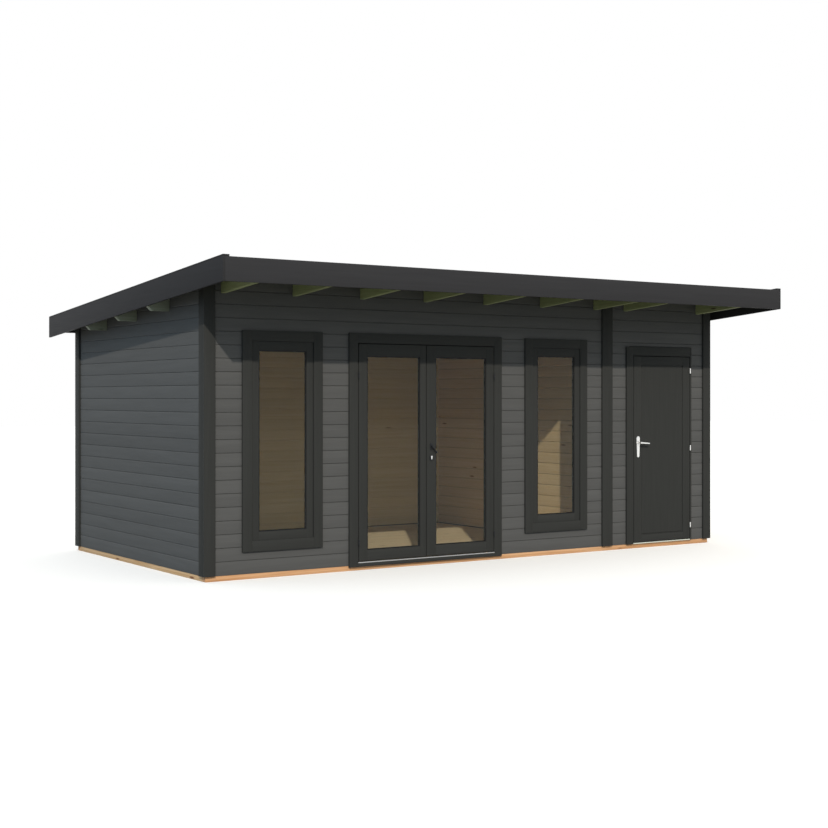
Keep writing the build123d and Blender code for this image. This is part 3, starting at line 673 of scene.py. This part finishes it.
# Window and door frames, board by board
framePlan = {
    "casing": 90 * mm, "lining": 38 * mm, "board": 20 * mm, "edgeRound": 2.0 * mm, "hingeEdge": 18 * mm,
    "stopRound": 1.2 * mm, "barRound": 0.8 * mm,
    "windows": {"left_window_frame": "leftWindowFrameBoards",
                "right_window_frame": "rightWindowFrameBoards"},
}


def buildWindowFrames():
    board, casing, lining = framePlan["board"], framePlan["casing"], framePlan["lining"]
    inset = casing - lining
    for node, name in framePlan["windows"].items():
        low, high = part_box(node)
        outer = (low.x, low.z, high.x, high.z)
        inner = (low.x + inset, low.z + inset, high.x - inset, high.z - inset)
        bm = bmesh.new()
        addFrameBoards(bm, outer, (casing,) * 4, low.y, low.y + board)
        addFrameBoards(bm, inner, (lining,) * 4, low.y + board, high.y - board)
        addFrameBoards(bm, outer, (casing,) * 4, high.y - board, high.y)
        finishPiece(bm, name, [satinPaint], [node], framePlan["edgeRound"])
    print("window frames")


def buildDoorFrames():
    board, casing, lining = framePlan["board"], framePlan["casing"], framePlan["lining"]
    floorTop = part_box("main_floor")[1].z
    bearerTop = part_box("long_bearers")[1].z
    for node, name, rightCasing in (("double_door_frame", "doubleDoorFrameBoards", casing),
                                    ("store_door_frame", "storeDoorFrameBoards", framePlan["hingeEdge"])):
        low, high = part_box(node)
        liningFront, liningBack = low.y + board, high.y - board
        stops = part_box(node.replace("frame", "stops"))
        left, right, head = stops[0].x, stops[1].x, stops[1].z     # the clear opening
        points = [v.co for v in cadNodes[node].data.vertices]
        liningTop = max(p.z for p in points if abs(p.x - (right + lining)) < mm
                        and liningFront - mm < p.y < liningBack + mm)
        bm = bmesh.new()
        addFrameBoards(bm, (left - casing, low.z, right + rightCasing, head + casing),
                       (casing, rightCasing, 0, casing), low.y, liningFront)
        addFrameBoards(bm, (left - lining, bearerTop, right + lining, liningTop),
                       (lining, lining, 0, liningTop - head), liningFront, liningBack)
        addFrameBoards(bm, (left - casing, floorTop, right + casing, head + casing),
                       (casing, casing, 0, casing), liningBack, high.y)
        finishPiece(bm, name, [satinPaint], [node], framePlan["edgeRound"])
    dressNode("double_door_stops", "doubleDoorStopStrips", satinPaint, framePlan["stopRound"])
    dressNode("store_door_stops", "storeDoorStopStrips", satinPaint, framePlan["stopRound"])
    dressNode("double_door_sill", "doubleDoorSillBoard", satinPaint, framePlan["edgeRound"])
    dressNode("double_door_threshold", "doubleDoorThresholdBar", millAluminium, framePlan["barRound"])
    dressNode("store_door_sill", "storeDoorSillBar", anodisedAluminium, framePlan["barRound"])
    print("door frames")


# Sashes and glazed leaves: stiles and rails, a rubber seal on each side of the pane, and a bead indoors
glazedPlan = {
    "edgeRound": 2.0 * mm, "paneBed": 7.7 * mm, "sealWidth": 10 * mm, "sealDepth": 5 * mm,
    "sealLip": 2 * mm, "beadWidth": 12 * mm, "beadDepth": 14 * mm, "beadNose": 3 * mm,
    "leaves": {                     # node: (piece, seal piece, pane node)
        "left_window_sash": ("leftWindowSashBars", "leftWindowSeal", "left_window_glass"),
        "right_window_sash": ("rightWindowSashBars", "rightWindowSeal", "right_window_glass"),
        "left_door_leaf": ("leftDoorLeafBars", "leftDoorSeal", "left_door_glass"),
        "right_door_leaf": ("rightDoorLeafBars", "rightDoorSeal", "right_door_glass"),
    },
}


def buildGlazedLeaves():
    bed, seal, depth, lip = (glazedPlan[size] for size in ("paneBed", "sealWidth", "sealDepth", "sealLip"))
    nose, beadStep = glazedPlan["beadNose"], glazedPlan["beadWidth"] - seal
    for node, (name, sealName, pane) in glazedPlan["leaves"].items():
        low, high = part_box(node)
        paneLow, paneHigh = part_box(pane)
        light = (paneLow.x + bed, paneLow.z + bed, paneHigh.x - bed, paneHigh.z - bed)
        widths = (light[0] - low.x, high.x - light[2], light[1] - low.z, high.z - light[3])
        beadFront, beadBack = paneHigh.y + depth, paneHigh.y + glazedPlan["beadDepth"]
        bm = bmesh.new()
        addFrameBoards(bm, (low.x, low.z, high.x, high.z), widths, low.y, high.y)
        addMitredStrip(bm, light, [(0, beadFront), (beadStep, beadFront), (beadStep, beadFront + nose),
                                   (nose, beadBack), (0, beadBack)])
        finishPiece(bm, name, [satinPaint], [node], glazedPlan["edgeRound"])
        bm = bmesh.new()
        for face, way in ((paneLow.y, -1), (paneHigh.y, 1)):
            addMitredStrip(bm, light, [(0, face), (seal, face), (seal, face + way * lip),
                                       (0, face + way * depth)])
        finishPiece(bm, sealName, [sealRubber], [], body=nodeBody[node], slot="trim_paint")
        glass = cadNodes[pane]
        glass.data.materials.clear()
        glass.data.materials.append(clearGlass)
    print("sashes and glazed leaves")


# Store leaf: stiles and rails round one panel, raised in the middle on both faces
storePlan = {"edgeRound": 2.0 * mm, "stile": 97 * mm, "topRail": 87 * mm, "bottomRail": 70 * mm,
             "recess": 5 * mm, "groove": 8 * mm, "fieldBevel": 7 * mm, "fieldBed": 1 * mm}


def addField(bm, outer, inset, bevel, back, face):
    # flat field with sloping sides, from its bed in the panel to its face
    left, bottom, right, top = outer
    rings = []
    for grow, y in ((inset, back), (inset + bevel, face)):
        rings.append([bm.verts.new((x, y, z)) for x, z in (
            (left + grow, bottom + grow), (right - grow, bottom + grow),
            (right - grow, top - grow), (left + grow, top - grow))])
        bm.faces.new(rings[-1])
    for k in range(4):
        bm.faces.new((rings[0][k - 1], rings[0][k], rings[1][k], rings[1][k - 1]))


def buildStoreLeaf():
    low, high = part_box("store_door_leaf")
    recess, bed = storePlan["recess"], storePlan["fieldBed"]
    widths = (storePlan["stile"], storePlan["stile"], storePlan["bottomRail"], storePlan["topRail"])
    opening = (low.x + widths[0], low.z + widths[2], high.x - widths[1], high.z - widths[3])
    bm = bmesh.new()
    addFrameBoards(bm, (low.x, low.z, high.x, high.z), widths, low.y, high.y)
    addBoard(bm, (opening[0], low.y + recess, opening[1]), (opening[2], high.y - recess, opening[3]))
    for face, back in ((low.y, low.y + recess + bed), (high.y, high.y - recess - bed)):
        addField(bm, opening, storePlan["groove"], storePlan["fieldBevel"], back, face)
    finishPiece(bm, "storeDoorLeafBoards", [satinPaint], ["store_door_leaf"], storePlan["edgeRound"])
    print("store leaf")


# Roof: rafters, brackets, boarded deck, lapped felt and edge boards
roofPlan = {
    "edgeRound": 2.0 * mm,
    "deckBoard": 112 * mm, "deckEdge": 2.0 * mm,
    "jointMargin": 2, "jointStride": 3,     # rafters without a joint at each end, and from joint to joint
    "feltWidth": 1000 * mm, "feltLap": 80 * mm, "feltStep": 2.5 * mm, "feltRound": 0.8 * mm,
    "bleedLeast": 5 * mm, "bleedMost": 17 * mm, "bleedHeight": 2 * mm, "bleedStep": 90 * mm,
}


def undersideMiddles(node):
    bm = bmesh.new()
    copyNode(bm, node)
    middles = sorted(face.calc_center_median().x for face in bm.faces if face.normal.z < -sameWay)
    bm.free()
    return middles


def addSlopedBoard(bm, low, high):
    # heights are counted from the deck's underside
    for v in addBoard(bm, low, high):
        v.co.z += deckUnder(v.co.y)


def buildDeck():
    # each row is two boards that meet over a rafter
    low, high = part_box("roof_deck")
    thickness = high.z - deckUnder(low.y)
    rows = round((high.y - low.y) / roofPlan["deckBoard"])
    width = (high.y - low.y) / rows
    margin = roofPlan["jointMargin"]
    jointPlaces = undersideMiddles("rafters")[margin:-margin]
    bm = bmesh.new()
    for k in range(rows):
        near = low.y + k * width
        joint = jointPlaces[k * roofPlan["jointStride"] % len(jointPlaces)]
        for start, end in ((low.x, joint), (joint, high.x)):
            addSlopedBoard(bm, (start, near, 0), (end, near + width, thickness))
    finishPiece(bm, "roofDeckBoards", [treatedPine], ["roof_deck"], roofPlan["deckEdge"], segments=1,
                run="x")
    print("deck:", rows, "rows of boards")
    return thickness


def buildFelt(base):
    # strips laid from the back edge to the front, each lapping over the one behind it
    low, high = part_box("roof_felt")
    top = high.z - deckUnder(low.y)
    bm = bmesh.new()
    lapEdges = []
    start = high.y
    while start > low.y + mm:
        end = max(start - roofPlan["feltWidth"], low.y)
        lapStart = min(start + roofPlan["feltLap"], high.y)
        for front, back, lift in ((end, start, 0), (start, lapStart, roofPlan["feltStep"])):
            if back - front > mm:
                addSlopedBoard(bm, (low.x, front, base + lift), (high.x, back, top + lift))
                if lift:
                    lapEdges.append(back)
        start = end
    finishPiece(bm, "roofFeltStrips", [slateFelt], ["roof_felt"], roofPlan["feltRound"], segments=1, run="x")
    buildLapBleed(lapEdges, low.x, high.x, top)


def buildLapBleed(lapEdges, left, right, feltTop):
    # bitumen squeezed out along each lap, now wider and now narrower
    draw = random.Random("roof laps")
    rise = roofPlan["bleedHeight"]
    steps = round((right - left) / roofPlan["bleedStep"])
    bm = bmesh.new()
    for edge in lapEdges:
        sections = []
        for k in range(steps + 1):
            x = left + (right - left) * k / steps
            wide = draw.uniform(roofPlan["bleedLeast"], roofPlan["bleedMost"])
            profile = ((edge, 0), (edge + wide, 0), (edge + wide / 2, rise), (edge, rise))
            sections.append([bm.verts.new((x, y, deckUnder(y) + feltTop + lift)) for y, lift in profile])
        for here, there in zip(sections, sections[1:]):
            for j in range(4):
                bm.faces.new((here[j], there[j], there[j - 1], here[j - 1]))
        bm.faces.new(sections[0])
        bm.faces.new(sections[-1])
    finishPiece(bm, "roofLapBitumen", [lapBitumen], [], run="x", body=nodeBody["roof_felt"],
                slot=nodeSlot["roof_felt"])


def buildRoof():
    dressNode("rafters", "roofRafters", treatedPine, roofPlan["edgeRound"])
    dressNode("side_brackets", "sideRoofBrackets", greyedPine, roofPlan["edgeRound"])
    deckThickness = buildDeck()
    buildFelt(deckThickness)
    # the roof's ends take the darker paint: painted shade
    dressNode("barge_boards", "bargeBoardsPainted", endPaintWithPaintedShade, roofPlan["edgeRound"], run="y")
    dressNode("edge_battens", "roofEdgeBattens", endPaintWithPaintedShade, roofPlan["edgeRound"], run="y")
    dressNode("front_fascia", "frontFasciaBoard", roofEdgePaint, roofPlan["edgeRound"], run="x")
    dressNode("back_fascia", "backFasciaBoard", roofEdgePaint, roofPlan["edgeRound"], run="x")
    print("roof")


# Hinges and door furniture
ironPlan = {
    "dark": {"double_door_lever": "doubleDoorLeverHandle", "double_door_roses": "doubleDoorRosePlates",
             "left_door_hinges": "leftDoorHingeTops", "right_door_hinges": "rightDoorHingeTops",
             "double_frame_hinges": "doubleFrameHingeBottoms"},
    "steel": {"store_lever": "storeLeverHandle", "store_handle_plates": "storeHandlePlatePair",
              "double_door_lock": "doubleDoorLockCylinder", "store_door_hinges": "storeDoorHingeTops",
              "store_frame_hinges": "storeFrameHingeBottoms"},
    "edgeRound": 0.9 * mm,
}


def buildIronwork():
    for node, name in ironPlan["dark"].items():
        dressNode(node, name, darkSteel, ironPlan["edgeRound"])
    for node, name in ironPlan["steel"].items():
        dressNode(node, name, satinSteel, ironPlan["edgeRound"])
    print("ironwork")


buildLogWalls()
buildBase()
buildPosts()
buildWindowFrames()
buildDoorFrames()
buildGlazedLeaves()
buildStoreLeaf()
buildRoof()
buildIronwork()


# Camera at the photograph's place, level, with the horizon above the middle of the picture
cameraPlan = {
    "place": (-7.952, -11.865, 1.542), "turn": 0.5882, "focalPixels": 1403.5, "horizonRow": 397.2,
    "imageSide": 828, "sensor": 36.0, "clipEnd": 400,
}


def placeCamera():
    data = bpy.data.cameras.new("viewCamera")
    data.sensor_width = cameraPlan["sensor"]
    data.lens = cameraPlan["focalPixels"] / cameraPlan["imageSide"] * cameraPlan["sensor"]
    data.shift_y = (cameraPlan["horizonRow"] - cameraPlan["imageSide"] / 2) / cameraPlan["imageSide"]
    data.clip_end = cameraPlan["clipEnd"]
    camera = bpy.data.objects.new("viewCamera", data)
    camera.location = cameraPlan["place"]
    camera.rotation_euler = (math.pi / 2, 0, -cameraPlan["turn"])
    bpy.context.scene.collection.objects.link(camera)
    bpy.context.scene.camera = camera


# Light: a soft sun from the front left, a pale sky, and a pale floor that bounces some of it
lightPlan = {
    "sunWay": (0.482, 0.807, -0.612), "sunStrength": 2.1, "sunAngle": 1.0, "sunColour": "#FFF9F2",
    "leftSky": "#AFCEED", "rightSky": "#E6E8EB", "skyTurn": (-0.8, 0.2), "skyStrength": 1.1,
    "floorSide": 120.0, "floorBounce": "#8C8C88", "floorSeen": "#F6F1E8", "floorGlow": 0.2,
    "white": "#FFFFFF",
}


def seenRays(tree):
    # 1 for rays from the camera, in mirrors and through glass, which see the plain background
    path = addNode(tree, "LightPath")
    mirrored = addNode(tree, "Math", {0: path.outputs["Is Glossy Ray"],
                                      1: path.outputs["Is Transmission Ray"]}, operation="MAXIMUM")
    return addNode(tree, "Math", {0: path.outputs["Is Camera Ray"], 1: mirrored.outputs["Value"]},
                   operation="MAXIMUM").outputs["Value"]


def hangSun():
    lamp = bpy.data.lights.new("softSun", "SUN")
    lamp.energy = lightPlan["sunStrength"]
    lamp.angle = math.radians(lightPlan["sunAngle"])
    lamp.color = linearColour(lightPlan["sunColour"])[:3]
    sun = bpy.data.objects.new("softSun", lamp)
    sun.rotation_euler = Vector(lightPlan["sunWay"]).to_track_quat("-Z", "Y").to_euler()
    bpy.context.scene.collection.objects.link(sun)


def paintSky():
    world = bpy.data.worlds.new("paleSky")
    bpy.context.scene.world = world
    world.use_nodes = True
    tree = world.node_tree
    sky = tree.nodes["Background"]
    sky.inputs["Strength"].default_value = lightPlan["skyStrength"]
    # the sky is a little bluer at the left
    way = addNode(tree, "SeparateXYZ", {"Vector": addNode(tree, "TexCoord").outputs["Generated"]})
    turnStart, turnEnd = lightPlan["skyTurn"]
    across = addNode(tree, "MapRange", {"Value": way.outputs["X"], "From Min": turnStart,
                                        "From Max": turnEnd})
    hue = addNode(tree, "Mix", {"Factor": across.outputs["Result"], "A": linearColour(lightPlan["leftSky"]),
                                "B": linearColour(lightPlan["rightSky"])}, data_type="RGBA")
    tree.links.new(hue.outputs["Result"], sky.inputs["Color"])
    white = addNode(tree, "Background", {"Color": linearColour(lightPlan["white"]), "Strength": 1.0})
    both = addNode(tree, "MixShader", {0: seenRays(tree), 1: sky.outputs["Background"],
                                       2: white.outputs["Background"]})
    tree.links.new(both.outputs["Shader"], tree.nodes["World Output"].inputs["Surface"])


def layFloor():
    half = lightPlan["floorSide"] / 2
    corners = [(-half, -half, -mm), (half, -half, -mm), (half, half, -mm), (-half, half, -mm)]
    floorMesh = bpy.data.meshes.new("paleFloor")
    floorMesh.from_pydata(corners, [], [(0, 1, 2, 3)])
    floor = bpy.data.objects.new("paleFloor", floorMesh)
    bpy.context.scene.collection.objects.link(floor)
    # matt board: pale where it is seen, greyer in the light that it sends back
    material, tree, shader = newFinish("paleStudioFloor", lightPlan["floorBounce"], 1.0)
    shader.inputs["Specular IOR Level"].default_value = 0.0
    glow = addNode(tree, "Emission", {"Color": linearColour(lightPlan["white"]),
                                      "Strength": lightPlan["floorGlow"]})
    pale = addNode(tree, "BsdfDiffuse", {"Color": linearColour(lightPlan["floorSeen"])})
    shown = addNode(tree, "AddShader", {0: pale.outputs["BSDF"], 1: glow.outputs["Emission"]})
    both = addNode(tree, "MixShader", {0: seenRays(tree), 1: shader.outputs["BSDF"],
                                       2: shown.outputs["Shader"]})
    tree.links.new(both.outputs["Shader"], tree.nodes["Material Output"].inputs["Surface"])
    floorMesh.materials.append(material)


placeCamera()
hangSun()
paintSky()
layFloor()
bpy.context.scene.view_settings.view_transform = "Standard"
print("camera and light")

bpy.context.view_layer.update()
